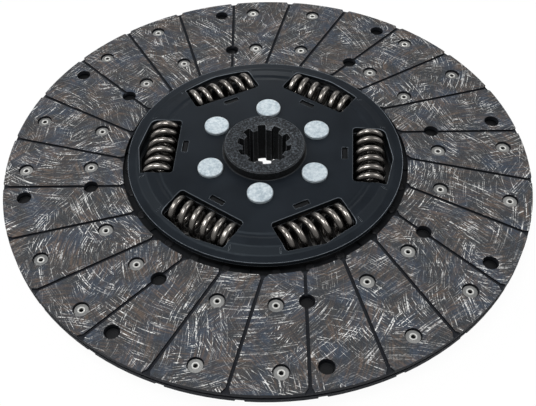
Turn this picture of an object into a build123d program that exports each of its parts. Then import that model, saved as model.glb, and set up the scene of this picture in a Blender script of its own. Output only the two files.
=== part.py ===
from build123d import *

import os
from math import asin, atan2, cos, degrees, hypot, pi, radians, sin, sqrt

# Clutch disc for a heavy truck, in millimetres.
# Origin: on the shaft axis, halfway between the two friction faces.
# +Z runs along the shaft, out of the side with the cover plate.

# ---------------------------------------------------------------- hub
hub_length = 42.0
hub_front = 23.0  # height of the hub's front end
hub_barrel_d = 66.0
hub_edge_chamfer = 1.0
flange_thickness = 6.0
spline_count = 10
spline_major_d = 44.45
spline_minor_d = 36.0
spline_gap_width = 6.93
spline_phase = 28.5  # angle of the first gap
lead_in_d = 49.0
lead_in_depth = 2.6

# ---------------------------------------------------------------- stop pins
pin_count = 6
pin_head_d = 20.5
pin_head_height = 2.7
pin_head_round = 0.7
pin_shoulder_d = 14.0
pin_end_d = 11.0
pin_head_to_hub = 5.0
twist_limit = 6.0  # turn of the hub each way, in degrees
twist_margin = 0.25  # turn left over when a pin stops, in degrees

# ---------------------------------------------------------------- friction device
ring_to_pin = 1.75
ring_width = 13.8
washer_thickness = 1.2
disc_spring_thickness = 0.9
disc_spring_width = 5.4
lug_width = 12.4
lug_depth = 4.0
lug_from_ring_edge = 5.3  # lug's middle, measured inwards from the ring's outer edge
lug_below_face = 0.9
lug_edge_round = 0.5
lug_slot_margin = 0.6
lug_slot_corner = 0.8

# ---------------------------------------------------------------- damper springs
spring_count = 6
spring_od = 27.0
spring_wire_d = 5.4
spring_length = 60.0
spring_active_turns = 4.4
spring_end_turns = 1.0
spring_coil_gap = 0.12  # between the closed end turns
spring_pitch_blend = 0.35  # turns over which the pitch opens
spring_first_height = 0.3  # of the wire's centre line, in wire diameters
points_per_turn = 16

# ---------------------------------------------------------------- plates
plate_thickness = 4.0
plate_gap = 11.9  # between the two plates' inner faces
plate_hole_d = 69.0
cover_drop = 3.8  # from the flat middle down to the rim
cover_slope_width = 6.8
cover_rim_width = 6.6
cover_to_facing = 5.0
drive_rim_width = 17.4  # outwards from the springs' outside
drive_to_facing = 1.0
bead_depth = 0.7
bead_width = 6.0
bead_beyond_axis = 3.8  # bead's middle, outwards from the springs' circle
bend_radius = 5.0
window_corner = 3.0
window_peak_round = 12.0
window_edge_round = 0.6
window_corner_inset = 0.3  # window's outer corners, inwards from the springs' outside
window_peak_inset = 1.0  # window's outermost point, inwards from the foot of the slope
crease_length = 4.5
crease_width = 0.8
crease_depth = 0.7
crease_turn = 19.3  # from a window's middle, in degrees
steep = 0.9  # rise of an edge that counts as a wall's corner

# ---------------------------------------------------------------- facings
facing_outer_d = 430.0
facing_thickness = 4.0
cushion_gap = 2.0
groove_count = 24
groove_width = 2.6
groove_depth = 1.8
groove_offset = 29.0  # how far the line of a groove passes from the axis
groove_flare = 2.2
groove_flare_length = 3.5
groove_phase = 12.17
rear_groove_phase = 14.52
outer_row_inset = 16.9  # rivet rows, from the facing's outer and inner edges
inner_row_inset = 26.7

# ---------------------------------------------------------------- cushion segments
segment_count = 8
segment_thickness = 0.8
segment_gap = 1.2  # in degrees
segment_edge_inset = 3.0
tongue_gap = 0.7  # in degrees
tongue_root = 10.0
foot_overlap = 2.0
foot_width = 10.0

# ---------------------------------------------------------------- facing and segment rivets
line_front = 7.31  # angles of the three lines of rivets in every segment
line_rear = 16.28
line_through = 35.33
rivet_head_d = 11.0
rivet_head_thickness = 1.0
rivet_shank_d = 4.8
rivet_bore_d = 3.4
rivet_roll_d = 5.8
rivet_roll_height = 0.6
rivet_edge_break = 0.3
rivet_recess_d = 12.4
rivet_seat = 1.3  # lining left under a head
access_hole_d = 12.0
closing_head_d = 9.6
closing_head_thickness = 1.1
foot_rivet_d = 4.5
foot_rivet_head_d = 7.0
foot_rivet_head_height = 1.4
foot_rivet_dome = 1.0
foot_rivet_edge = 0.4  # from a head to the drive plate's edge
foot_rivet_spread = 13.0  # angle between the rivets of one segment

# ---------------------------------------------------------------- clearances
fit_gap = 0.1  # rivets, pins and lugs in their holes
running_gap = 0.1  # between faces that slide on each other
bush_clearance = 0.05  # bush on the hub, on the radius
stop_clearance = 0.2  # pin in its slot, on the radius
spring_clearance = 0.2  # at each end of a spring
edge_clearance = 0.4  # a spring's inner side in its pocket
pocket_to_ring = 0.9
window_inset = 0.3  # windows' inside edge, outwards from the pockets' floor
flange_over_spring = 0.25
bush_wall = 1.35
bush_flange_width = 6.4
bush_flange_thickness = 2.6
bush_below_face = 0.6

# ---------------------------------------------------------------- sizes that follow
hub_r = hub_barrel_d / 2
pin_circle_r = hub_r + pin_head_to_hub + pin_head_d / 2
ring_inner_r = pin_circle_r + pin_shoulder_d / 2 + ring_to_pin
ring_outer_r = ring_inner_r + ring_width
lug_r = ring_outer_r - lug_from_ring_edge
pocket_floor = ring_outer_r + pocket_to_ring
spring_circle_r = pocket_floor + edge_clearance + spring_od / 2
spring_reach = spring_circle_r + spring_od / 2
flange_tip_r = spring_reach + flange_over_spring
window_half = spring_length / 2 + spring_clearance
window_floor = pocket_floor + window_inset

drive_rim_r = spring_reach + drive_rim_width
facing_inner_r = drive_rim_r + drive_to_facing
facing_r = facing_outer_d / 2
cover_rim_r = facing_inner_r - cover_to_facing
cover_foot_r = cover_rim_r - cover_rim_width
cover_crest_r = cover_foot_r - cover_slope_width
outer_row_r = facing_r - outer_row_inset
inner_row_r = facing_inner_r + inner_row_inset

segment_top = segment_thickness / 2
drive_face = -segment_top  # the drive plate's front face
inner_face = drive_face + plate_gap  # the cover's rear face
outer_face = inner_face + plate_thickness
damper_plane = (drive_face + inner_face) / 2  # middle of the flange and springs
cover_rim_top = outer_face - cover_drop
window_corner_r = spring_reach - window_corner_inset
window_peak_r = cover_foot_r - window_peak_inset
facing_back = cushion_gap / 2
friction_face = facing_back + facing_thickness
pitch_angle = 360 / spring_count
bead_middle_r = spring_circle_r + bead_beyond_axis

os.makedirs("parts", exist_ok=True)


def polar(radius, angle):
    """Point at a radius and an angle in degrees."""
    return (radius * cos(radians(angle)), radius * sin(radians(angle)))


def ring(inner_r, outer_r, low, high):
    """Flat ring between two heights."""
    face = Circle(outer_r) - Circle(inner_r)
    return Pos(0, 0, low) * extrude(face, high - low)


def turned(points):
    """Solid of revolution about Z from a closed outline of radius and height."""
    return revolve(Plane.XZ * make_face(Polyline(*points, close=True)), Axis.Z)


def around(shape, count, start=0.0):
    """Copies of a shape turned about Z at equal steps."""
    return [Rot(0, 0, start + k * 360 / count) * shape for k in range(count)]


def save(shape, node):
    """Write one piece to its own file."""
    export_step(shape, f"parts/{node}.step")


# ================================================================ hub
# Forged and broached hub: a barrel with the shaft's splines, and a flange
# whose six arms push the springs. The arms' curved slots let the pins travel.
def spline_bore():
    gaps = [Rot(0, 0, spline_phase + k * 360 / spline_count)
            * Pos(spline_major_d / 4, 0) * Rectangle(spline_major_d / 2 + 2, spline_gap_width)
            for k in range(spline_count)]
    star = Circle(spline_minor_d / 2)
    for gap in gaps:
        star += gap
    return star & Circle(spline_major_d / 2)


def make_hub():
    hub_rear = hub_front - hub_length
    barrel = Pos(0, 0, hub_rear) * extrude(Circle(hub_r), hub_length)
    barrel = chamfer(barrel.edges(), hub_edge_chamfer)
    flange = Circle(flange_tip_r)
    pocket_depth = flange_tip_r
    pocket = Pos(pocket_floor + pocket_depth / 2, 0) * Rectangle(pocket_depth, 2 * window_half)
    for cut in around(pocket, spring_count):
        flange -= cut
    swing = twist_limit + twist_margin
    slot_line = CenterArc((0, 0), pin_circle_r, pitch_angle / 2 - swing, 2 * swing)
    slot = SlotArc(slot_line, pin_shoulder_d + 2 * stop_clearance)
    for cut in around(slot, pin_count):
        flange -= cut
    body = barrel + Pos(0, 0, damper_plane - flange_thickness / 2) * extrude(flange, flange_thickness)
    body -= Pos(0, 0, hub_rear) * extrude(spline_bore(), hub_length)
    lead = Cone(lead_in_d / 2, spline_minor_d / 2, lead_in_depth)
    body -= Pos(0, 0, hub_rear + lead_in_depth / 2) * lead
    body -= Pos(0, 0, hub_front - lead_in_depth / 2) * Rot(180, 0, 0) * lead
    return body


# ================================================================ plates
# Both plates are cut from 4 mm sheet. Each has six windows for the springs and
# holes for the stop pins. The drive plate is flat, and the cover plate is
# pressed with a bead and a sloping edge and slotted for the ring's lugs.
def window_face():
    """Window seen along the shaft: straight inside edge, low gable outside."""
    outline = Polyline(
        (window_floor, -window_half),
        (window_corner_r, -window_half),
        (window_peak_r, 0),
        (window_corner_r, window_half),
        (window_floor, window_half),
        close=True,
    )
    face = make_face(outline)
    corners = face.vertices().sort_by(Axis.X)
    face = fillet(corners[:4], window_corner)
    return fillet(face.vertices().sort_by(Axis.X)[-1:], window_peak_round)


def cut_openings(plate):
    """Windows and pin holes that both plates share."""
    deep = 4 * plate_thickness
    window = Pos(0, 0, drive_face - deep) * extrude(window_face(), 3 * deep)
    hole = Pos(*polar(pin_circle_r, pitch_angle / 2), damper_plane)
    pin_hole = hole * Cylinder(pin_end_d / 2 + fit_gap, 3 * deep)
    plate -= around(window, spring_count)
    return plate - around(pin_hole, pin_count)


def upper_window_edges(plate):
    """Edges where the windows' walls meet the cover's upper surface."""
    picked = []
    for edge in plate.edges():
        middle = edge @ 0.5
        radius = hypot(middle.X, middle.Y)
        turn = (degrees(atan2(middle.Y, middle.X)) + pitch_angle / 2) % pitch_angle - pitch_angle / 2
        out, across = polar(radius, turn)
        inside = out > window_floor - fit_gap and abs(across) < window_half + fit_gap
        in_window = inside and radius < cover_foot_r
        mid_height = outer_face - plate_thickness / 2
        if radius > cover_crest_r:
            mid_height -= (radius - cover_crest_r) * (cover_drop - bead_depth) / cover_slope_width
        if in_window and middle.Z > mid_height and abs((edge % 0.5).Z) < steep:
            picked.append(edge)
    return picked


def crease_cutter():
    """Short groove down the cover's slope, beside a window."""
    fall = cover_drop - bead_depth
    tilt = degrees(atan2(fall, cover_slope_width))
    box = Box(crease_length, crease_width, 2 * crease_depth)
    place = Pos(cover_crest_r + cover_slope_width / 2, 0, outer_face - bead_depth - fall / 2)
    return place * Rot(0, tilt, 0) * box


def make_cover():
    bead = bead_width / 2
    points = [
        (plate_hole_d / 2, outer_face),
        (bead_middle_r - bead, outer_face),
        (bead_middle_r, outer_face - bead_depth),
        (bead_middle_r + bead, outer_face - bead_depth / 4),
        (cover_crest_r, outer_face - bead_depth),
        (cover_foot_r, cover_rim_top),
        (cover_rim_r, cover_rim_top),
    ]
    line = FilletPolyline(*points, radius=bend_radius)
    section = make_face(offset(line, plate_thickness, side=Side.RIGHT).edges())
    plate = cut_openings(revolve(Plane.XZ * section, Axis.Z))
    plate = fillet(upper_window_edges(plate), window_edge_round)
    slot_gap = 2 * fit_gap + lug_slot_margin
    slot_plan = RectangleRounded(lug_depth + slot_gap, lug_width + slot_gap, lug_slot_corner)
    slot = Pos(lug_r, 0, inner_face - 1) * extrude(slot_plan, plate_thickness + 2)
    plate -= around(slot, spring_count)
    for side in (-1, 1):
        plate -= around(crease_cutter(), spring_count, side * crease_turn)
    return plate


def make_drive_plate():
    flat = ring(plate_hole_d / 2, drive_rim_r, drive_face - plate_thickness, drive_face)
    plate = cut_openings(flat)
    rivet_hole = Cylinder(foot_rivet_d / 2 + fit_gap, 4 * plate_thickness)
    return plate - [place * rivet_hole for place in foot_rivet_places()]


# ================================================================ friction device
# Two washers rub on the hub's flange. The front one bears on a ring whose lugs
# sit in the cover's slots, and a disc spring behind the rear one presses them.
flange_gap = (plate_gap - flange_thickness) / 2
washer_face = running_gap + washer_thickness  # a washer's far face, from the flange
stack_gap = flange_gap - washer_face  # room left for the ring or the disc spring


def make_lugged_ring():
    """Front ring against the cover's rear face, with six lugs through the cover."""
    body = ring(ring_inner_r, ring_outer_r, inner_face - stack_gap, inner_face)
    lug_height = plate_thickness - lug_below_face
    lug = Pos(lug_r, 0, inner_face + lug_height / 2) * Box(lug_depth, lug_width, lug_height)
    lug = fillet(lug.faces().sort_by(Axis.Z)[-1].edges(), lug_edge_round)
    for piece in around(lug, spring_count):
        body += piece
    return body


def make_disc_spring():
    """Coned steel washer on the drive plate, high at its inner edge."""
    outer_r = ring_inner_r + disc_spring_width
    low = drive_face
    high = drive_face + stack_gap
    return turned([
        (ring_inner_r + fit_gap, high),
        (ring_inner_r + fit_gap, high - disc_spring_thickness),
        (outer_r, low),
        (outer_r, low + disc_spring_thickness),
    ])


def make_bush():
    """Flanged bush that centres the cover on the hub, with its collar upwards."""
    inner_r = hub_r + bush_clearance
    return turned([
        (inner_r, inner_face - bush_flange_thickness),
        (inner_r + bush_flange_width, inner_face - bush_flange_thickness),
        (inner_r + bush_flange_width, inner_face),
        (inner_r + bush_wall, inner_face),
        (inner_r + bush_wall, outer_face - bush_below_face),
        (inner_r, outer_face - bush_below_face),
    ])


# ================================================================ damper springs
# Coil springs of round wire, right-hand wound, with closed and ground ends.
# They lie between the plates, in the windows and the flange's pockets.
def spring_line():
    """Centre line of the wire: closed turns at both ends, open turns between."""
    coil_r = (spring_od - spring_wire_d) / 2
    closed = spring_wire_d + spring_coil_gap
    turns = spring_active_turns + 2 * spring_end_turns
    count = round(turns * points_per_turn)
    rise = []
    for k in range(count):
        turn = (k + 0.5) / points_per_turn
        from_end = min(turn, turns - turn) - spring_end_turns
        share = min(max(from_end / spring_pitch_blend + 0.5, 0), 1)
        rise.append(share * share * (3 - 2 * share))
    start = spring_wire_d * spring_first_height
    closed_rise = closed / points_per_turn
    open_rise = (spring_length - 2 * start - count * closed_rise) / sum(rise)
    points = []
    height = start
    for k in range(count + 1):
        turn = 2 * pi * k / points_per_turn
        points.append((coil_r * cos(turn), coil_r * sin(turn), height))
        if k < count:
            height += closed_rise + rise[k] * open_rise
    return Spline(*points)


def make_spring():
    """One spring along Z, standing on z = 0."""
    line = spring_line()
    section = Plane(origin=line @ 0, z_dir=line % 0) * Circle(spring_wire_d / 2)
    wire = sweep(section, path=line, is_frenet=True)
    ground = Pos(0, 0, spring_length / 2) * Cylinder(spring_od, spring_length)
    return wire & ground


def seat_spring(spring, angle):
    """Lay a spring on its circle, across the radius at an angle."""
    place = Pos(spring_circle_r, -spring_length / 2, damper_plane)
    return Rot(0, 0, angle) * place * Rot(-90, 0, 0) * spring


# ================================================================ stop pins
# Shouldered steel pins that hold the plates apart and together. Both ends are
# headed over, and the shoulders stop the hub's turn in the flange's slots.
def make_stop_pin():
    head_top = outer_face + pin_head_height
    half = [
        (0, head_top),
        (pin_head_d / 2 - pin_head_round, head_top),
        (pin_head_d / 2, head_top - pin_head_round),
        (pin_head_d / 2, outer_face),
        (pin_end_d / 2, outer_face),
        (pin_end_d / 2, inner_face),
        (pin_shoulder_d / 2, inner_face),
    ]
    other_half = [(radius, 2 * damper_plane - height) for radius, height in reversed(half)]
    return turned(half + other_half)


# ================================================================ cushion segments
# Eight thin spring-steel segments carry the facings. Three tongues lie high,
# low and in the middle, and flatten when the clutch is pressed home.
segment_middle = (line_front + line_through) / 2
foot_inner_r = drive_rim_r - foot_width
foot_rivet_r = drive_rim_r - foot_rivet_edge - foot_rivet_head_d / 2
neck_r = facing_inner_r + tongue_root
segment_outer_r = facing_r - segment_edge_inset


def ring_sector(inner_r, outer_r, start, end):
    """Part of a flat ring between two angles."""
    sides = [
        CenterArc((0, 0), outer_r, start, end - start),
        Line(polar(outer_r, end), polar(inner_r, end)),
        CenterArc((0, 0), inner_r, start, end - start),
        Line(polar(inner_r, start), polar(outer_r, start)),
    ]
    return make_face(sides)


def drill(shape, diameter, angle, rows):
    """Cut straight holes at one angle, on each row's radius."""
    for row in rows:
        hole = Pos(*polar(row, angle)) * Cylinder(diameter / 2, 10 * facing_thickness)
        shape -= hole
    return shape


def make_segment():
    """The first segment, in its place round the axis."""
    half = 180 / segment_count - segment_gap / 2
    start, end = segment_middle - half, segment_middle + half
    split_low = (line_front + line_rear) / 2
    split_high = (line_rear + line_through) / 2
    lift = facing_back - segment_top
    tongues = [
        (start, split_low - tongue_gap / 2, lift),
        (split_low + tongue_gap / 2, split_high - tongue_gap / 2, -lift),
        (split_high + tongue_gap / 2, end, 0),
    ]
    foot = ring_sector(foot_inner_r, neck_r, start, end)
    segment = Pos(0, 0, -segment_top) * extrude(foot, segment_thickness)
    for low, high, level in tongues:
        tongue = ring_sector(neck_r - foot_overlap, segment_outer_r, low, high)
        segment += Pos(0, 0, level - segment_top) * extrude(tongue, segment_thickness)
    for line in (line_front, line_rear, line_through):
        segment = drill(segment, rivet_shank_d + 2 * fit_gap, line, (inner_row_r, outer_row_r))
    for turn in (-foot_rivet_spread, 0, foot_rivet_spread):
        segment = drill(segment, foot_rivet_d + 2 * fit_gap, segment_middle + turn, (foot_rivet_r,))
    return segment


def make_foot_rivet():
    """Solid rivet through a segment's foot and the drive plate's rim."""
    front = segment_top
    back = -segment_top - plate_thickness
    head = foot_rivet_head_height
    head_r = foot_rivet_head_d / 2
    return turned([
        (0, front + head),
        (head_r - foot_rivet_dome, front + head),
        (head_r, front + head / 2),
        (head_r, front),
        (foot_rivet_d / 2, front),
        (foot_rivet_d / 2, back),
        (head_r, back),
        (head_r, back - head / 2),
        (head_r - foot_rivet_dome, back - head),
        (0, back - head),
    ])


def foot_rivet_places():
    angles = [segment_middle + turn + k * 360 / segment_count
              for k in range(segment_count)
              for turn in (-foot_rivet_spread, 0, foot_rivet_spread)]
    return [Pos(*polar(foot_rivet_r, angle)) for angle in angles]


# ================================================================ facings
# Two woven friction rings. Straight skewed grooves carry off heat and dust.
# Each ring is bored three ways: seats for its own rivets, and access holes.
def groove_plan(sense):
    """Slot along a line that misses the axis, flared where it leaves the ring."""
    half = groove_width / 2
    wide = half + groove_flare
    near = sqrt(facing_inner_r ** 2 - groove_offset ** 2)
    far = sqrt(facing_r ** 2 - groove_offset ** 2)
    side = [
        (near - groove_flare_length, wide),
        (near, wide),
        (near + groove_flare_length, half),
        (far - groove_flare_length, half),
        (far, wide),
        (far + groove_flare_length, wide),
    ]
    other_side = [(x, -y) for x, y in reversed(side)]
    outline = make_face(Polyline(*side, *other_side, close=True))
    lean = sense * degrees(asin(groove_offset / facing_r))
    return Rot(0, 0, -lean) * Pos(0, sense * groove_offset) * outline


def holes(diameter, low, high, angle):
    """Round cutters on both rows, at one line of every segment."""
    height = high - low
    cutter = Pos(0, 0, low + height / 2) * Cylinder(diameter / 2, height)
    return [place * cutter
            for row in (inner_row_r, outer_row_r)
            for place in PolarLocations(row, segment_count, start_angle=angle)]


def make_facing(sense, phase, seat_lines, access_line):
    """Facing with its friction face up, on its place above the segments."""
    over = friction_face + 1
    facing = ring(facing_inner_r, facing_r, facing_back, friction_face)
    groove = Pos(0, 0, friction_face - groove_depth) * extrude(groove_plan(sense), groove_depth + 1)
    cuts = around(groove, groove_count, phase)
    seat = facing_back + rivet_seat
    for line in seat_lines:
        cuts += holes(rivet_recess_d, seat, over, line)
        cuts += holes(rivet_shank_d + 2 * fit_gap, facing_back - 1, over, line)
    cuts += holes(access_hole_d, facing_back - 1, over, access_line)
    return facing - cuts


# ================================================================ facing rivets
# Hollow rivets: a flat head with a rolled lip round the bore sits in the facing,
# and a plain closing head grips the segment on the other side.
def rolled_head(seat):
    """Outline of the head, from the bore's lip down to the shank."""
    top = seat + rivet_head_thickness
    lip = top + rivet_roll_height
    edge = rivet_edge_break
    return [
        (rivet_bore_d / 2, lip - edge),
        (rivet_bore_d / 2 + edge, lip),
        (rivet_roll_d / 2 - edge, lip),
        (rivet_roll_d / 2, lip - edge),
        (rivet_roll_d / 2, top),
        (rivet_head_d / 2 - edge, top),
        (rivet_head_d / 2, top - edge),
        (rivet_head_d / 2, seat),
        (rivet_shank_d / 2, seat),
    ]


def make_facing_rivet(level):
    """Rivet for one facing, closed under a tongue whose middle is at a level."""
    under = level - segment_top
    foot = under - closing_head_thickness
    return turned(rolled_head(facing_back + rivet_seat) + [
        (rivet_shank_d / 2, under),
        (closing_head_d / 2, under),
        (closing_head_d / 2, foot + rivet_edge_break),
        (closing_head_d / 2 - rivet_edge_break, foot),
        (0, foot),
        (0, under),
        (rivet_bore_d / 2, under),
    ])


def make_through_rivet():
    """Rivet that holds both facings, with a rolled head at each end."""
    front = rolled_head(facing_back + rivet_seat)
    return turned(front + [(radius, -height) for radius, height in reversed(front)])


def rivet_set(rivet, line):
    """Rivets of one line, on both rows of every segment."""
    return Compound(children=[
        place * rivet
        for row in (inner_row_r, outer_row_r)
        for place in PolarLocations(row, segment_count, start_angle=line)
    ])


# ================================================================ the whole disc
flange_top = damper_plane + flange_thickness / 2
behind = Plane.XY.offset(damper_plane)

save(make_hub(), "hub")
save(make_cover(), "cover_plate")
save(make_drive_plate(), "drive_plate")

front_washer = ring(ring_inner_r, ring_outer_r, flange_top + running_gap, flange_top + washer_face)
save(front_washer, "friction_washer_front")
save(mirror(front_washer, about=behind), "friction_washer_rear")
save(make_lugged_ring(), "lugged_ring")
save(make_disc_spring(), "disc_spring")
save(make_bush(), "hub_bush_front")
save(mirror(make_bush(), about=behind), "hub_bush_rear")

spring = make_spring()
for k in range(spring_count):
    save(seat_spring(spring, k * pitch_angle), f"damper_spring_{k + 1}")

pin = Pos(*polar(pin_circle_r, pitch_angle / 2)) * make_stop_pin()
save(Compound(children=around(pin, pin_count)), "stop_pins")

segment = make_segment()
for k, piece in enumerate(around(segment, segment_count)):
    save(piece, f"cushion_segment_{k + 1}")
foot_rivet = make_foot_rivet()
save(Compound(children=[place * foot_rivet for place in foot_rivet_places()]), "segment_rivets")

front_facing = make_facing(1, groove_phase, (line_front, line_through), line_rear)
rear_facing = make_facing(-1, rear_groove_phase, (line_rear, line_through), line_front)
save(front_facing, "facing_front")
save(mirror(rear_facing, about=Plane.XY), "facing_rear")

tongue_lift = facing_back - segment_top
rear_rivet = mirror(make_facing_rivet(tongue_lift), about=Plane.XY)
save(rivet_set(make_facing_rivet(tongue_lift), line_front), "facing_rivets_front")
save(rivet_set(rear_rivet, line_rear), "facing_rivets_rear")
save(rivet_set(make_through_rivet(), line_through), "facing_rivets_through")
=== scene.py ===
from math import cos, radians, sin

import bpy
import numpy as np
from mathutils import Matrix, Vector


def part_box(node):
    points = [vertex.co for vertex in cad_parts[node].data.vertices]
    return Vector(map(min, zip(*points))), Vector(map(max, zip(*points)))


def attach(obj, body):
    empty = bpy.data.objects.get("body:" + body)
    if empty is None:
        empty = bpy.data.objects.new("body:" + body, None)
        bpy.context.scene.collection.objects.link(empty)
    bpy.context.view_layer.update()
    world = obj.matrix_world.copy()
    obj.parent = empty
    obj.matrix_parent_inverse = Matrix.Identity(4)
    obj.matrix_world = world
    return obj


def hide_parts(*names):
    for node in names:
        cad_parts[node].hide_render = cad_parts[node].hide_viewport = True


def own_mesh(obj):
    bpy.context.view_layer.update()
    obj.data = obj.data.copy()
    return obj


# A truck's clutch disc, in metres, with its axis on Z and its cover plate up.
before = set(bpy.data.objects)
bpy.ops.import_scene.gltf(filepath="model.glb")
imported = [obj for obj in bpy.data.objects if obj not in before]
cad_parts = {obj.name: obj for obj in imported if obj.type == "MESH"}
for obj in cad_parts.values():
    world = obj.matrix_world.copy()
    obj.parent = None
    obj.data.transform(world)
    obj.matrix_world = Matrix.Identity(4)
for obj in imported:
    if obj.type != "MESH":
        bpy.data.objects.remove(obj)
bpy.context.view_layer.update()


# ================================================================ plates
# A pressed cover and a flat drive plate of 4 mm steel sheet, with a blue-black
# satin coating. It is thin on the rim and on the rounded edges of the windows,
# where steel shines through, and duller on the drawn slope.


class Graph:
    """A node tree with short ways to add nodes, do sums and mix colours."""

    def __init__(self, tree):
        self.tree = tree

    def add(self, kind, values=None, **settings):
        """One node. A value that is a socket is linked, and any other is set on the input."""
        node = self.tree.nodes.new(kind)
        for name, value in settings.items():
            setattr(node, name, value)
        for name, value in (values or {}).items():
            if isinstance(value, bpy.types.NodeSocket):
                self.tree.links.new(value, node.inputs[name])
            else:
                node.inputs[name].default_value = value
        return node

    def math(self, operation, a, b=0.0, clamp=False):
        node = self.add("ShaderNodeMath", {0: a, 1: b}, operation=operation, use_clamp=clamp)
        return node.outputs[0]

    def vector(self, operation, a, b=(0.0, 0.0, 0.0)):
        node = self.add("ShaderNodeVectorMath", {0: a, 1: b}, operation=operation)
        return node.outputs["Value" if operation in ("LENGTH", "DOT_PRODUCT") else "Vector"]

    def scale(self, a, factor):
        return self.add("ShaderNodeVectorMath", {0: a, "Scale": factor}, operation="SCALE").outputs["Vector"]

    def mix(self, factor, a, b):
        return self.add("ShaderNodeMix", {0: factor, 6: a, 7: b}, data_type="RGBA").outputs[2]

    def ramp(self, value, low, high, start=0.0, end=1.0):
        """Straight ramp from start at low to end at high, held beyond both."""
        values = {"Value": value, "From Min": low, "From Max": high, "To Min": start, "To Max": end}
        return self.add("ShaderNodeMapRange", values).outputs[0]

    def noise(self, vector, scale, detail=2.0, roughness=0.5, normalize=True):
        values = {"Vector": vector, "Scale": scale, "Detail": detail, "Roughness": roughness}
        return self.add("ShaderNodeTexNoise", values, normalize=normalize).outputs[0]

    def here(self):
        """Place in the piece's own coordinates."""
        return self.add("ShaderNodeTexCoord").outputs["Object"]

    def from_axis(self):
        """Distance from the Z axis."""
        return self.vector("LENGTH", self.vector("MULTIPLY", self.here(), (1.0, 1.0, 0.0)))

    def height(self):
        """Distance above or below the facings' middle plane."""
        return self.math("ABSOLUTE", self.add("ShaderNodeSeparateXYZ", {0: self.here()}).outputs["Z"])

    def upward(self):
        """How far the surface faces up or down: 1 when level, 0 when upright."""
        normal = self.add("ShaderNodeNewGeometry").outputs["Normal"]
        return self.math("ABSOLUTE", self.add("ShaderNodeSeparateXYZ", {0: normal}).outputs["Z"])

    def use(self, group, **values):
        """A node group, with its inputs set by name."""
        named = {name.replace("_", " ").capitalize(): value for name, value in values.items()}
        return self.add("ShaderNodeGroup", named, node_tree=group).outputs


def new_group(name, inputs, outputs):
    """An empty group: inputs are (name, kind, default), outputs are (name, kind)."""
    tree = bpy.data.node_groups.new(name, "ShaderNodeTree")
    for label, kind, default in inputs:
        socket = tree.interface.new_socket(label, in_out="INPUT", socket_type=f"NodeSocket{kind}")
        socket.default_value = default
    for label, kind in outputs:
        tree.interface.new_socket(label, in_out="OUTPUT", socket_type=f"NodeSocket{kind}")
    graph = Graph(tree)
    return tree, graph, graph.add("NodeGroupInput").outputs, graph.add("NodeGroupOutput")


def linear(red, green, blue):
    """Scene colour from display values of 0 to 255."""
    shares = [v / 255 for v in (red, green, blue)]
    return (*[s / 12.92 if s < 0.04045 else ((s + 0.055) / 1.055) ** 2.4 for s in shares], 1.0)


def material(name, **values):
    """A material with its Principled shader's constants set. Returns it, its graph and the shader."""
    made = bpy.data.materials.new(name)
    made.use_nodes = True
    made.node_tree.nodes.clear()
    graph = Graph(made.node_tree)
    named = {label.replace("_", " "): value for label, value in values.items()}
    shader = graph.add("ShaderNodeBsdfPrincipled", named)
    graph.add("ShaderNodeOutputMaterial", {"Surface": shader.outputs[0]})
    return made, graph, shader


def feed(graph, shader, **sockets):
    """Link sockets to the shader's inputs by name."""
    for label, socket in sockets.items():
        graph.tree.links.new(socket, shader.inputs[label.replace("_", " ")])


def paint(made, *nodes):
    """Give CAD nodes a material."""
    for node in nodes:
        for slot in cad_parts[node].material_slots:
            slot.material = made


# Worn edges: how far a rounded normal leaves the true one, broken up by noise.
edge_wear, g, inside, result = new_group(
    "Edge wear",
    [("Width", "Float", 0.0005), ("Patchiness", "Float", 0.5)],
    [("Mask", "Float")],
)
rounded = g.add("ShaderNodeBevel", {"Radius": inside["Width"]}, samples=4).outputs[0]
straight = g.add("ShaderNodeNewGeometry").outputs["Normal"]
away = g.math("SUBTRACT", 1.0, g.vector("DOT_PRODUCT", rounded, straight))
sharp = g.ramp(away, 0.01, 0.16)
patches = g.ramp(g.noise(g.here(), 160.0, 4.0, 0.6), 0.35, 0.62)
kept = g.math("SUBTRACT", 1.0, g.math("MULTIPLY", inside["Patchiness"], g.math("SUBTRACT", 1.0, patches)))
g.tree.links.new(g.math("MULTIPLY", sharp, kept), result.inputs["Mask"])

# Grain: fine speckle for colour and roughness, and the bumps of a coated or blasted surface.
grain, g, inside, result = new_group(
    "Grain",
    [("Size", "Float", 0.0008), ("Height", "Float", 0.00003)],
    [("Speckle", "Float"), ("Cloud", "Float"), ("Normal", "Vector")],
)
fine = g.noise(g.here(), g.math("DIVIDE", 1.0, inside["Size"]), 3.0, 0.65)
cloud = g.noise(g.here(), 45.0, 3.0, 0.55)
bump = g.add("ShaderNodeBump", {"Height": fine, "Distance": inside["Height"], "Strength": 1.0})
g.tree.links.new(g.ramp(fine, 0.3, 0.7), result.inputs["Speckle"])
g.tree.links.new(g.ramp(cloud, 0.3, 0.7), result.inputs["Cloud"])
g.tree.links.new(bump.outputs[0], result.inputs["Normal"])

# Coating, with wear along the rim and the windows, and painted shade in the corners.
made, g, shader = material("black plate", Specular_IOR_Level=0.26, Specular_Tint=(0.76, 0.9, 1.0, 1.0))
coat = g.use(grain, size=0.0007, height=0.000012)
rim_start, rim_full = 0.105, 0.111
windows_start, windows_outer = 0.09, 0.096
from_axis = g.from_axis()
rim = g.ramp(from_axis, rim_start, rim_full)
width = g.ramp(rim, 0.0, 1.0, 0.0005, 0.0009)
wear = g.use(edge_wear, width=width, patchiness=g.ramp(rim, 0.0, 1.0, 0.6, 0.3))["Mask"]
upward = g.upward()
rounded_edge = g.math("MULTIPLY", g.ramp(upward, 0.1, 0.3), g.ramp(upward, 0.9, 0.75))
outer_share = g.ramp(from_axis, windows_start, windows_outer, 0.6, 1.0)
wear = g.math("MAXIMUM", wear, g.math("MULTIPLY", rounded_edge, outer_share))
shade = g.mix(coat["Cloud"], linear(9, 12, 17), linear(16, 20, 26))
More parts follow.
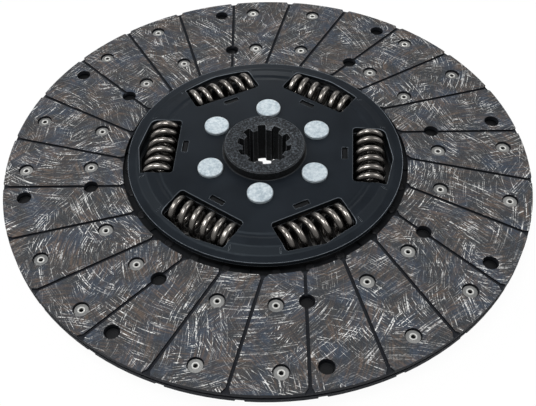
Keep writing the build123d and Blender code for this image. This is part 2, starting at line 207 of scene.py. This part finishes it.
shade = g.mix(g.math("MULTIPLY", coat["Speckle"], 0.25), shade, linear(34, 40, 47))
shade = g.mix(g.math("MULTIPLY", wear, 0.8), shade, linear(150, 158, 166))
# Painted shade: ambient occlusion darkens the coating's colour in corners, round the hub's barrel and round
# the pins.
corner_painted_shade = g.add("ShaderNodeAmbientOcclusion", {"Distance": 0.016}, samples=6).outputs["AO"]
shade = g.mix(g.ramp(corner_painted_shade, 0.35, 0.85), linear(7, 8, 10), shade)
rough = g.math("ADD", g.ramp(coat["Cloud"], 0.0, 1.0, 0.33, 0.42), g.ramp(upward, 0.99, 0.93, 0.0, 0.3))
feed(g, shader, Base_Color=shade, Roughness=rough, Normal=coat["Normal"])
paint(made, "cover_plate", "drive_plate")


# ================================================================ hub
# Forged steel, turned on the barrel's ends and broached for the splines.
# Dark grey phosphate takes the oil and leaves a lighter crystalline speckle.

# Turning marks: noise read along the radius only, so that it runs in rings round Z.
turning, g, inside, result = new_group(
    "Turning marks",
    [("Pitch", "Float", 0.0004), ("Height", "Float", 0.00002), ("Normal", "Vector", (0.0, 0.0, 0.0))],
    [("Normal", "Vector")],
)
ring_number = g.math("DIVIDE", g.from_axis(), inside["Pitch"])
ring_place = g.add("ShaderNodeCombineXYZ", {"X": ring_number}).outputs[0]
line = g.noise(ring_place, 1.0, 2.0, 0.6)
bump = g.add("ShaderNodeBump", {"Height": line, "Distance": inside["Height"], "Normal": inside["Normal"]})
g.tree.links.new(bump.outputs[0], result.inputs["Normal"])

# Phosphate, with most flecks on the level faces, dull upright walls, and painted shade that darkens those
# walls for the shade in the bore and round the barrel.
made, g, shader = material("hub steel", Metallic=0.1, Specular_IOR_Level=0.28)
coat = g.use(grain, size=0.0009, height=0.00002)
rings = g.use(turning, pitch=0.0005, height=0.000012, normal=coat["Normal"])
wear = g.use(edge_wear, width=0.0006, patchiness=0.45)["Mask"]
shade = g.mix(coat["Cloud"], linear(9, 11, 14), linear(16, 19, 23))
flecks = g.ramp(g.noise(g.here(), 640.0, 3.0, 0.75), 0.48, 0.68)
upward = g.upward()
flecks = g.math("MULTIPLY", flecks, g.ramp(upward, 0.6, 0.95, 0.2, 0.6))
shade = g.mix(flecks, shade, linear(106, 114, 122))
# Painted shade: the more upright the face, the nearer its colour is drawn to near-black.
shade = g.mix(g.ramp(upward, 0.5, 0.1, 0.0, 0.6), shade, linear(5, 6, 7))
shade = g.mix(g.math("MULTIPLY", wear, 0.6), shade, linear(170, 176, 182))
rough = g.math("ADD", g.ramp(coat["Speckle"], 0.0, 1.0, 0.38, 0.52), g.ramp(upward, 0.8, 0.1, 0.0, 0.35))
feed(g, shader, Base_Color=shade, Roughness=rough, Normal=rings["Normal"])
paint(made, "hub")


# ================================================================ stop pins
# Six shouldered pins with pale zinc plate, their heads a little mottled
# where the plate has bloomed. The plate is bright at the heads' edges.
made, g, shader = material("zinc pin", Metallic=0.55, Specular_IOR_Level=0.5)
coat = g.use(grain, size=0.0011, height=0.00003)
wear = g.use(edge_wear, width=0.0007, patchiness=0.2)["Mask"]
bloom = g.ramp(g.noise(g.here(), 420.0, 3.0, 0.7), 0.36, 0.62)
shade = g.mix(bloom, linear(184, 200, 209), linear(228, 237, 241))
shade = g.mix(g.math("MULTIPLY", coat["Cloud"], 0.35), shade, linear(150, 166, 178))
shade = g.mix(g.math("MULTIPLY", wear, 0.5), shade, linear(220, 228, 234))
rough = g.ramp(bloom, 0.0, 1.0, 0.34, 0.5)
feed(g, shader, Base_Color=shade, Roughness=rough, Normal=coat["Normal"])
paint(made, "stop_pins")


# ================================================================ damper springs
# Coils of round spring-steel wire with closed ends ground flat, oil-tempered
# to a warm grey. Each lies across the radius and shortens as the hub turns.
spring_d, wire_d, spring_length, active_turns = 0.027, 0.0054, 0.06, 4.4


def coil_mesh(name, outer_d, wire_d, length, active_turns, angle, middle):
    """Tube swept along a helix that stands between two planes.

    The centre line is (r cos t, r sin t, h(t)) with r the mean radius. Its rise per turn is one wire
    diameter in the first and last turn and wide between them. A ring of points
    is set round it, square to the line, and points beyond either plane are
    moved back onto it, which leaves the flat of a ground end. The coil is then
    laid across the radius at its angle round Z.
    """
    steps, sides = 26, 20
    turns = active_turns + 2
    count = round(turns * steps)
    turn = (np.arange(count) + 0.5) / steps
    from_end = np.minimum(turn, turns - turn) - 1
    share = np.clip(from_end / 0.35 + 0.5, 0, 1)
    rise = share ** 2 * (3 - 2 * share)
    start = 0.3 * wire_d
    closed = 1.02 * wire_d / steps
    steep = (length - 2 * start - count * closed) / rise.sum()
    height = start + np.concatenate([[0], np.cumsum(closed + rise * steep)])
    phase = 2 * np.pi * np.arange(count + 1) / steps
    mean_r = (outer_d - wire_d) / 2
    line = np.stack([mean_r * np.cos(phase), mean_r * np.sin(phase), height], 1)
    forward = np.gradient(line, axis=0)
    forward /= np.linalg.norm(forward, axis=1)[:, None]
    outward = np.stack([np.cos(phase), np.sin(phase), np.zeros_like(phase)], 1)
    sideways = np.cross(forward, outward)
    around = 2 * np.pi * np.arange(sides) / sides
    tube = (line[:, None]
            + wire_d / 2 * np.cos(around)[None, :, None] * outward[:, None]
            + wire_d / 2 * np.sin(around)[None, :, None] * sideways[:, None]).reshape(-1, 3)
    tube[:, 2] = np.clip(tube[:, 2], 0, length)
    laid = np.stack([middle.x + tube[:, 0], tube[:, 2] - length / 2, middle.z - tube[:, 1]], 1)
    c, s = cos(angle), sin(angle)
    points = np.stack([c * laid[:, 0] - s * laid[:, 1], s * laid[:, 0] + c * laid[:, 1], laid[:, 2]], 1)
    row, side = np.meshgrid(sides * np.arange(count), np.arange(sides), indexing="ij")
    after = (side + 1) % sides
    quads = np.stack([row + side, row + after, row + sides + after, row + sides + side], -1).reshape(-1, 4)
    first_end = list(reversed(range(sides)))
    last_end = list(range(count * sides, (count + 1) * sides))
    mesh = bpy.data.meshes.new(name)
    mesh.from_pydata(points.tolist(), [], [*quads.tolist(), first_end, last_end])
    mesh.shade_smooth()
    wire_place = mesh.attributes.new("wire_place", "FLOAT_VECTOR", "POINT")
    lengthwise = np.repeat(phase * mean_r, sides)
    own = np.stack([lengthwise, np.tile(np.cos(around), count + 1), np.tile(np.sin(around), count + 1)], 1)
    wire_place.data.foreach_set("vector", own.astype(np.float32).ravel())
    return mesh


made, g, shader = material("spring steel", Metallic=0.9, Specular_IOR_Level=0.5)
wire = g.add("ShaderNodeAttribute", attribute_name="wire_place").outputs["Vector"]
drawn = g.noise(g.vector("MULTIPLY", wire, (60.0, 5.0, 5.0)), 1.0, 3.0, 0.6)
tint = g.noise(g.vector("MULTIPLY", wire, (14.0, 0.6, 0.6)), 1.0, 2.0, 0.5)
shade = g.mix(g.ramp(tint, 0.35, 0.65), linear(132, 127, 122), linear(166, 162, 157))
shade = g.mix(g.ramp(drawn, 0.55, 0.75, 0.0, 0.5), shade, linear(90, 83, 76))
rough = g.ramp(drawn, 0.3, 0.7, 0.2, 0.32)
bump = g.add("ShaderNodeBump", {"Height": drawn, "Distance": 0.00002}).outputs[0]
# Painted shade: ambient occlusion darkens the wire's colour between and behind the coils.
coil_painted_shade = g.add("ShaderNodeAmbientOcclusion", {"Distance": 0.014}, samples=6).outputs["AO"]
shade = g.mix(g.ramp(coil_painted_shade, 0.52, 1.0), linear(11, 10, 10), shade)
feed(g, shader, Base_Color=shade, Roughness=rough, Normal=bump)
middle = (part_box("damper_spring_1")[0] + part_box("damper_spring_1")[1]) / 2
for k in range(6):
    angle = radians(60 * k)
    spring = bpy.data.objects.new(
        f"coil_{k + 1}",
        coil_mesh(f"coil_{k + 1}", spring_d, wire_d, spring_length, active_turns, angle, middle),
    )
    bpy.context.scene.collection.objects.link(spring)
    spring.data.materials.append(made)
    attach(spring, "springs")
    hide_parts(f"damper_spring_{k + 1}")
    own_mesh(spring)


# ================================================================ disc spring
# A coned ring of the same steel behind the rear washer, pressed from strip. It
# keeps the friction washers loaded and is seen only through slots and windows.
made, g, shader = material("disc spring steel", Metallic=0.85, Roughness=0.35)
coat = g.use(grain, size=0.0008, height=0.00001)
shade = g.mix(coat["Cloud"], linear(96, 92, 88), linear(122, 118, 112))
feed(g, shader, Base_Color=shade, Normal=coat["Normal"])
paint(made, "disc_spring")
paint(made, *[f"damper_spring_{k + 1}" for k in range(6)])


# ================================================================ lugged ring
# A blanked steel ring under the cover plate. Its lugs stand in the cover's
# slots and hold it from turning, and only they show from outside.
made, g, shader = material("ring steel", Metallic=0.3, Specular_IOR_Level=0.3)
coat = g.use(grain, size=0.0006, height=0.00001)
rings = g.use(turning, pitch=0.0006, height=0.00001, normal=coat["Normal"])
shade = g.mix(coat["Cloud"], linear(9, 10, 12), linear(17, 19, 22))
rough = g.ramp(coat["Speckle"], 0.0, 1.0, 0.32, 0.45)
feed(g, shader, Base_Color=shade, Roughness=rough, Normal=rings["Normal"])
paint(made, "lugged_ring")


# ================================================================ friction washers
# Two moulded washers of brown friction lining, one each side of the hub's
# flange, loose between the flange and the steel behind them.
made, g, shader = material("washer lining", Roughness=0.8, Specular_IOR_Level=0.3)
coat = g.use(grain, size=0.0008, height=0.00004)
shade = g.mix(coat["Speckle"], linear(66, 56, 48), linear(92, 82, 70))
feed(g, shader, Base_Color=shade, Normal=coat["Normal"])
paint(made, "friction_washer_front", "friction_washer_rear")


# ================================================================ hub bushes
# Two flanged bushes moulded in black plastic, pushed into the plates' holes.
# The hub's barrel turns in them, and their collars show round it.
made, g, shader = material("bush plastic", Specular_IOR_Level=0.45)
coat = g.use(grain, size=0.0015, height=0.00001)
shade = g.mix(coat["Cloud"], linear(20, 21, 23), linear(28, 29, 31))
rough = g.ramp(coat["Speckle"], 0.0, 1.0, 0.4, 0.55)
feed(g, shader, Base_Color=shade, Roughness=rough, Normal=coat["Normal"])
paint(made, "hub_bush_front", "hub_bush_rear")


# ================================================================ cushion segments
# Eight pieces of blued spring-steel sheet, dark and thin. They carry the
# facings and are seen between them and down the access holes.
made, g, shader = material("segment steel", Metallic=0.4, Specular_IOR_Level=0.3)
coat = g.use(grain, size=0.0009, height=0.00001)
shade = g.mix(coat["Cloud"], linear(16, 18, 21), linear(26, 28, 31))
rough = g.ramp(coat["Speckle"], 0.0, 1.0, 0.35, 0.5)
feed(g, shader, Base_Color=shade, Roughness=rough, Normal=coat["Normal"])
paint(made, *[f"cushion_segment_{k + 1}" for k in range(8)])


# ================================================================ segment rivets
# Three solid steel rivets hold each segment's foot to the drive plate. They are coloured a very dark grey
# and lie in the gap round the cover's rim.
made, g, shader = material("dark rivet", Metallic=0.3, Specular_IOR_Level=0.3)
coat = g.use(grain, size=0.0006, height=0.00002)
shade = g.mix(coat["Speckle"], linear(14, 15, 17), linear(26, 27, 30))
rough = g.ramp(coat["Cloud"], 0.0, 1.0, 0.4, 0.55)
feed(g, shader, Base_Color=shade, Roughness=rough, Normal=coat["Normal"])
paint(made, "segment_rivets")


# ================================================================ facings
# Friction rings of yarn, resin and wire, ground flat. Cut wire shines in short
# curved strands, with copper and blue-grey yarn. Grooves and bores are dark.

# Wire streaks: short curved strands. The plane is split into patches, each patch
# has its own far centre, and noise is drawn out along the arcs round that centre.
streaks, g, inside, result = new_group(
    "Wire streaks",
    [("Shift", "Vector", (0.0, 0.0, 0.0)), ("Patch", "Float", 0.03), ("Width", "Float", 0.001),
     ("Length", "Float", 0.009), ("Low", "Float", 0.58), ("High", "Float", 0.66)],
    [("Mask", "Float")],
)
flat = g.vector("ADD", g.vector("MULTIPLY", g.here(), (1.0, 1.0, 0.0)), inside["Shift"])
cells = g.add("ShaderNodeTexVoronoi", {"Vector": flat, "Scale": g.math("DIVIDE", 1.0, inside["Patch"])})
throw = g.scale(g.vector("SUBTRACT", cells.outputs["Color"], (0.5, 0.5, 0.5)), 0.3)
centre = g.vector("ADD", cells.outputs["Position"], throw)
arm = g.vector("MULTIPLY", g.vector("SUBTRACT", flat, centre), (1.0, 1.0, 0.0))
across = g.math("DIVIDE", g.vector("LENGTH", arm), inside["Width"])
split = g.add("ShaderNodeSeparateXYZ", {0: arm}).outputs
turn = g.math("ARCTAN2", split["Y"], split["X"])
along = g.math("DIVIDE", g.math("MULTIPLY", turn, g.vector("LENGTH", throw)), inside["Length"])
patch_value = g.add("ShaderNodeSeparateXYZ", {0: cells.outputs["Color"]}).outputs["Z"]
own = g.math("MULTIPLY", patch_value, 90.0)
place = g.add("ShaderNodeCombineXYZ", {"X": across, "Y": along, "Z": own}).outputs[0]
strand = g.noise(place, 1.0, 1.0, 0.4)
values = {"Value": strand, "From Min": inside["Low"], "From Max": inside["High"]}
g.tree.links.new(g.add("ShaderNodeMapRange", values).outputs[0], result.inputs["Mask"])

# Ground friction face, with yarn, copper and silver strands over a speckled body.
made, g, shader = material("friction facing", Specular_IOR_Level=0.2)
face_height = 0.005
here = g.here()
coat = g.use(grain, size=0.0007, height=0.00004)
warm = g.ramp(g.noise(here, 55.0, 3.0, 0.6), 0.44, 0.58)
cool = g.ramp(g.noise(g.vector("ADD", here, (4.0, 2.0, 0.0)), 48.0, 3.0, 0.6), 0.46, 0.6)
shade = g.mix(coat["Speckle"], linear(15, 17, 20), linear(72, 75, 78))
shade = g.mix(g.math("MULTIPLY", cool, 0.55), shade, linear(54, 66, 82))
shade = g.mix(g.math("MULTIPLY", warm, 0.3), shade, linear(80, 72, 66))
yarn = g.use(streaks, shift=(3.1, 1.7, 0.0), patch=0.048, width=0.0018, length=0.036, low=0.5, high=0.62)
shade = g.mix(g.math("MULTIPLY", yarn["Mask"], 0.4), shade, linear(46, 50, 57))
copper = g.use(streaks, shift=(7.3, 4.9, 0.0), patch=0.046, width=0.0013, length=0.032, low=0.5, high=0.62)
brown = g.math("MULTIPLY", copper["Mask"], g.ramp(warm, 0.0, 1.0, 0.35, 1.0))
shade = g.mix(g.math("MULTIPLY", brown, 0.4), shade, linear(108, 89, 75))
dark = g.use(streaks, shift=(1.9, 8.2, 0.0), patch=0.032, width=0.0011, length=0.016, low=0.54, high=0.64)
shade = g.mix(g.math("MULTIPLY", dark["Mask"], 0.45), shade, linear(40, 41, 45))
first = g.use(streaks, shift=(0.0, 0.0, 0.0), patch=0.05, width=0.00085, length=0.03, low=0.6, high=0.69)
second = g.use(streaks, shift=(5.5, 2.3, 0.0), patch=0.042, width=0.00055, length=0.016, low=0.62, high=0.7)
silver = g.math("MAXIMUM", first["Mask"], second["Mask"])
broken = g.ramp(g.noise(here, 620.0, 3.0, 0.65), 0.4, 0.56)
clumps = g.ramp(g.noise(g.vector("ADD", here, (9.0, 1.0, 0.0)), 60.0, 2.0, 0.6), 0.44, 0.6, 0.2, 1.0)
silver = g.math("MULTIPLY", g.math("MULTIPLY", silver, broken), clumps)
ground = g.ramp(g.height(), face_height - 0.00015, face_height - 0.00005)
silver = g.math("MULTIPLY", silver, ground)
shade = g.mix(g.math("MULTIPLY", silver, 0.95), shade, linear(242, 242, 240))
below = g.mix(g.math("MULTIPLY", coat["Speckle"], 0.6), linear(18, 20, 25), linear(40, 43, 49))
shade = g.mix(ground, below, shade)
rough = g.ramp(silver, 0.0, 1.0, 0.75, 0.45)
metal = g.math("MULTIPLY", silver, 0.4)
feed(g, shader, Base_Color=shade, Roughness=rough, Metallic=metal, Normal=coat["Normal"])
paint(made, "facing_front", "facing_rear")


# ================================================================ facing rivets
# Tin-plated hollow rivets: a flat head with a bright rolled lip round a dark
# bore, set in a recess of the facing. The closing heads inside are dark.
made, g, shader = material("bright rivet", Metallic=0.6)
coat = g.use(grain, size=0.0009, height=0.00003)
wear = g.use(edge_wear, width=0.0004, patchiness=0.2)["Mask"]
shade = g.mix(coat["Cloud"], linear(120, 121, 121), linear(164, 164, 162))
shade = g.mix(g.math("MULTIPLY", wear, 0.6), shade, linear(236, 236, 232))
lip_height, closing_height = 0.0036, 0.0015
height = g.height()
lip = g.ramp(height, lip_height - 0.0003, lip_height)
shade = g.mix(g.math("MULTIPLY", lip, 0.8), shade, linear(240, 240, 236))
closed = g.ramp(height, closing_height + 0.0002, closing_height)
shade = g.mix(closed, shade, linear(26, 27, 29))
rough = g.ramp(coat["Speckle"], 0.0, 1.0, 0.3, 0.44)
feed(g, shader, Base_Color=shade, Roughness=rough, Normal=coat["Normal"])
paint(made, "facing_rivets_front", "facing_rivets_rear", "facing_rivets_through")


# ================================================================ floor, light and camera
# Plain white floor that the disc's hub stands on. For the camera it is mostly its own white, so that the
# shadow stays faint, with a painted shadow: a dark ring under the damper, clear of the bore.
# From below it is clear, which leaves the disc's back in sight.
made = bpy.data.materials.new("floor")
made.use_nodes = True
made.node_tree.nodes.clear()
g = Graph(made.node_tree)
matt = g.add("ShaderNodeBsdfDiffuse", {"Color": (0.9, 0.9, 0.9, 1.0)}).outputs[0]
from_axis = g.from_axis()
# Painted shadow: no glow between the bore and the disc's edge, so the floor seen through the windows is
# dark.
under_bore = g.ramp(from_axis, 0.04, 0.06, 1.0, 0.0)
round_disc = g.ramp(from_axis, 0.12, 0.2)
glow_outside_painted_shadow = g.math("MAXIMUM", under_bore, round_disc)
glow = g.add("ShaderNodeEmission", {"Color": (1.0, 1.0, 1.0, 1.0), "Strength": glow_outside_painted_shadow}).outputs[0]
seen = g.math("MULTIPLY", g.add("ShaderNodeLightPath").outputs["Is Camera Ray"], 0.96)
surface = g.add("ShaderNodeMixShader", {0: seen, 1: matt, 2: glow}).outputs[0]
under = g.math("MULTIPLY", g.add("ShaderNodeNewGeometry").outputs["Backfacing"],
               g.add("ShaderNodeLightPath").outputs["Is Camera Ray"])
clear = g.add("ShaderNodeBsdfTransparent").outputs[0]
surface = g.add("ShaderNodeMixShader", {0: under, 1: surface, 2: clear}).outputs[0]
g.add("ShaderNodeOutputMaterial", {"Surface": surface})
floor_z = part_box("hub")[0].z
mesh = bpy.data.meshes.new("floor")
half = 6
corners = [(-half, -half, floor_z), (half, -half, floor_z), (half, half, floor_z), (-half, half, floor_z)]
mesh.from_pydata(corners, [], [(0, 1, 2, 3)])
floor = bpy.data.objects.new("floor", mesh)
mesh.materials.append(made)
bpy.context.scene.collection.objects.link(floor)

world = bpy.data.worlds.new("studio")
bpy.context.scene.world = world
world.use_nodes = True
world.node_tree.nodes.clear()
g = Graph(world.node_tree)
path = g.add("ShaderNodeLightPath").outputs
white = g.math("ADD", path["Is Camera Ray"], path["Is Transmission Ray"], clamp=True)
grey = g.math("SUBTRACT", 0.5, g.math("MULTIPLY", path["Is Glossy Ray"], 0.22))
strength = g.math("ADD", g.math("MULTIPLY", white, 0.5), grey)
background = g.add("ShaderNodeBackground", {"Color": (1.0, 1.0, 1.0, 1.0), "Strength": strength}).outputs[0]
g.add("ShaderNodeOutputWorld", {"Surface": background})


def area_light(name, place, aim, size, power):
    """A square soft light at one place, turned to another."""
    light = bpy.data.lights.new(name, "AREA")
    light.size = size
    light.energy = power
    lamp = bpy.data.objects.new(name, light)
    lamp.location = place
    lamp.rotation_euler = (Vector(aim) - Vector(place)).to_track_quat("-Z", "Y").to_euler()
    bpy.context.scene.collection.objects.link(lamp)


area_light("key", place=(-0.2, -0.3, 1.35), aim=(0.0, 0.0, 0.0), size=0.5, power=11.5)
area_light("side", place=(-1.1, 0.3, 1.0), aim=(0.0, 0.0, 0.0), size=0.6, power=6.0)
area_light("fill", place=(1.1, 0.3, 1.0), aim=(0.0, 0.0, 0.0), size=0.6, power=5.0)
area_light("rim", place=(-0.17, 1.3, 0.62), aim=(0.0, 0.1, 0.0), size=0.4, power=1.3)

# The camera looks down at 49.6 degrees, rolled a little, off the lens's middle.
elevation, roll, turn = 0.865360, -0.050340, radians(7.5)
back = Vector((0, -cos(elevation), sin(elevation)))
across = Vector((1, 0, 0))
upward = back.cross(across)
right = cos(roll) * across + sin(roll) * upward
up = -sin(roll) * across + cos(roll) * upward
place = Vector((-0.024886, -0.047045, 0)) + 0.647176 * back + Vector((0, 0, 0.005))
pose = Matrix((right, up, back)).transposed().to_4x4()
pose.translation = place
lens = bpy.data.cameras.new("camera")
lens.sensor_width = 36.0
lens.lens = 817.05 / 536 * 36
lens.shift_x = 0.0584
lens.clip_start = 0.01
camera = bpy.data.objects.new("camera", lens)
camera.matrix_world = Matrix.Rotation(turn, 4, "Z") @ pose
bpy.context.scene.collection.objects.link(camera)
bpy.context.scene.camera = camera
bpy.context.scene.view_settings.view_transform = "Standard"
